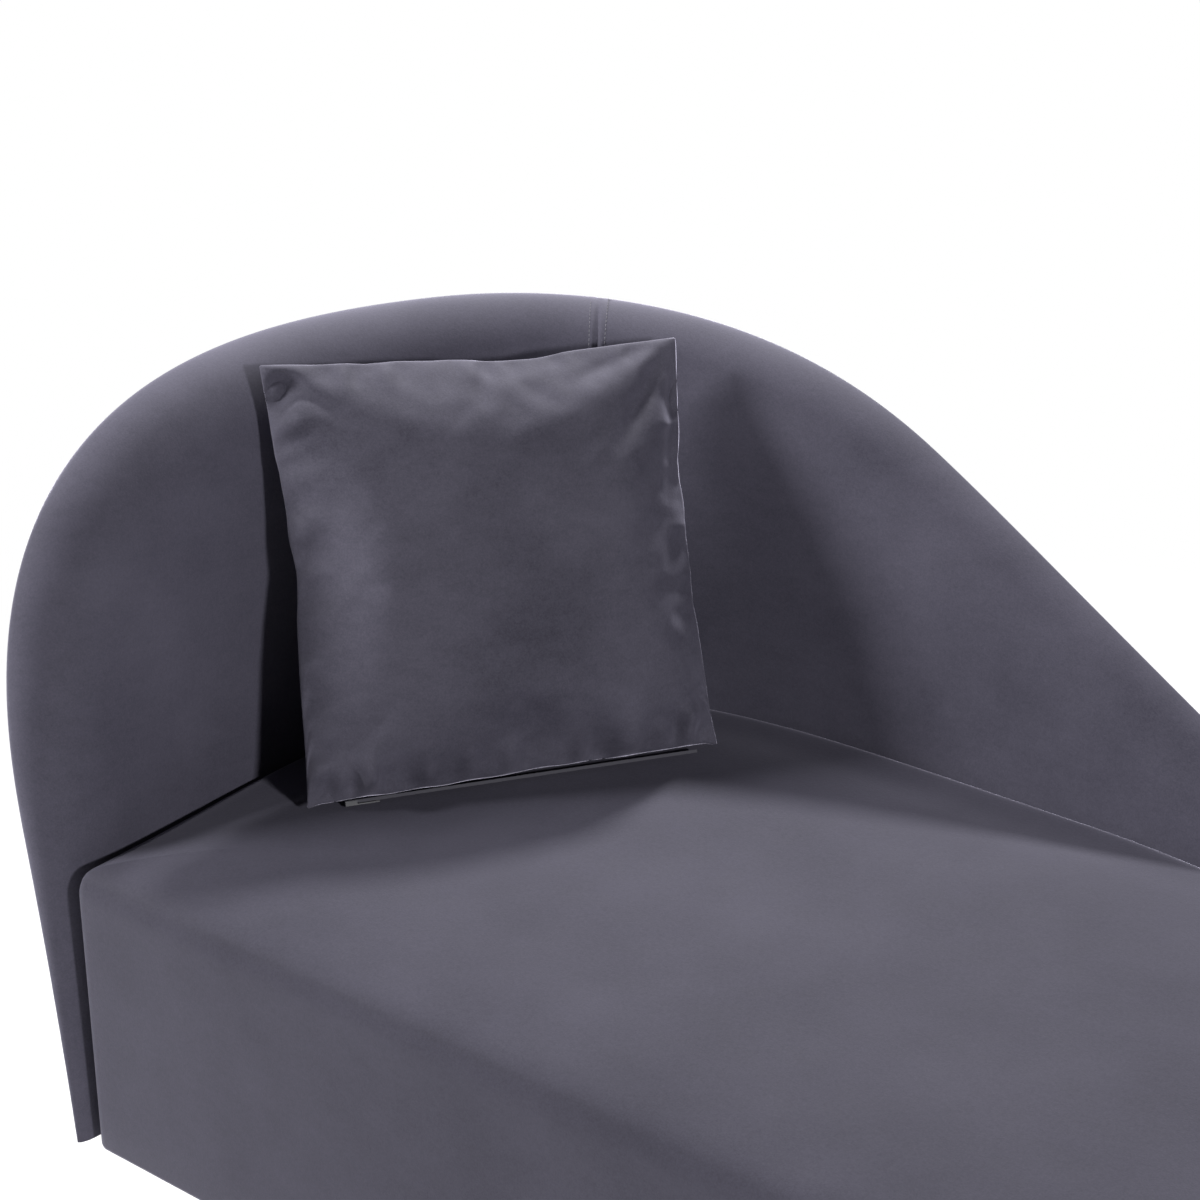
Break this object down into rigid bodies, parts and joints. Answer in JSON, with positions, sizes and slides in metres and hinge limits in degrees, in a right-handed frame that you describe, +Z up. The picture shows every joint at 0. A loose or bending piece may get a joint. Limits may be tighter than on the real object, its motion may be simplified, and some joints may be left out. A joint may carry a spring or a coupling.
{
  "type": "chaise longue",
  "caption": "Upholstered chaise longue: flat padded seat, arched padded back wrapping round the head end and sloping down along the rear, tapered legs, loose square throw pillow.",
  "frame": {"origin": "centre of the overall bounding box in plan, at floor level", "axes": "+X from the head end towards the foot end, +Y from the front towards the back wall, +Z up"},
  "size_m": [1.7104, 0.7427, 0.816],
  "materials": {
    "wall_velvet": "short-pile velvet, soft sheen",
    "seat_velvet": "short-pile velvet, soft sheen",
    "pillow_velvet": "short-pile velvet",
    "thread": "twisted thread",
    "plywood": "bent birch plywood, raw",
    "hardwood": "planed, raw",
    "foam": "cut upholstery foam",
    "wadding": "polyester wadding",
    "deck_cloth": "woven support cloth",
    "dust_cloth": "non-woven bottom cloth",
    "spring_steel": "oiled spring wire",
    "fixing_steel": "zinc plated",
    "leg_metal": "brushed",
    "glide_plastic": "moulded",
    "zip_tape": "woven tape with moulded coil",
    "zip_metal": "plated"
  },
  "bodies": {
    "chaise": {"inside_cover_head": "wall_velvet", "inside_cover_back": "wall_velvet", "outside_cover": "wall_velvet", "seam_stitching": "thread", "wall_panel": "plywood", "wall_foam_head": "foam", "wall_foam_back": "foam", "fixing_battens": "hardwood", "wall_bolts": "fixing_steel", "seat_cover": "seat_velvet", "seat_topper": "wadding", "seat_foam": "foam", "deck_cloth": "deck_cloth", "seat_springs": "spring_steel", "spring_clips": "fixing_steel", "front_rail": "hardwood", "head_bent_rail": "plywood", "rear_rail": "hardwood", "foot_rail": "hardwood", "foot_corner_bends": "plywood", "cross_rails": "hardwood", "leg_blocks": "hardwood", "dust_cover": "dust_cloth", "leg_plates": "fixing_steel", "leg_studs": "fixing_steel", "tapered_legs": "leg_metal", "floor_glides": "glide_plastic"},
    "pillow": {"pillow_front": "pillow_velvet", "pillow_back": "pillow_velvet", "zip_chain": "zip_tape"},
    "zip_slider": {"zip_slider": "zip_metal"}
  },
  "joints": [
    {"name": "pillow_lift", "type": "slide", "parent": "chaise", "child": "pillow", "axis": [0, 0, 1], "range_m": [0, 0.5]},
    {"name": "zip_slide", "type": "slide", "parent": "pillow", "child": "zip_slider", "axis": [0.5592, 0.829, 0], "range_m": [0, 0.3]}
  ]
}
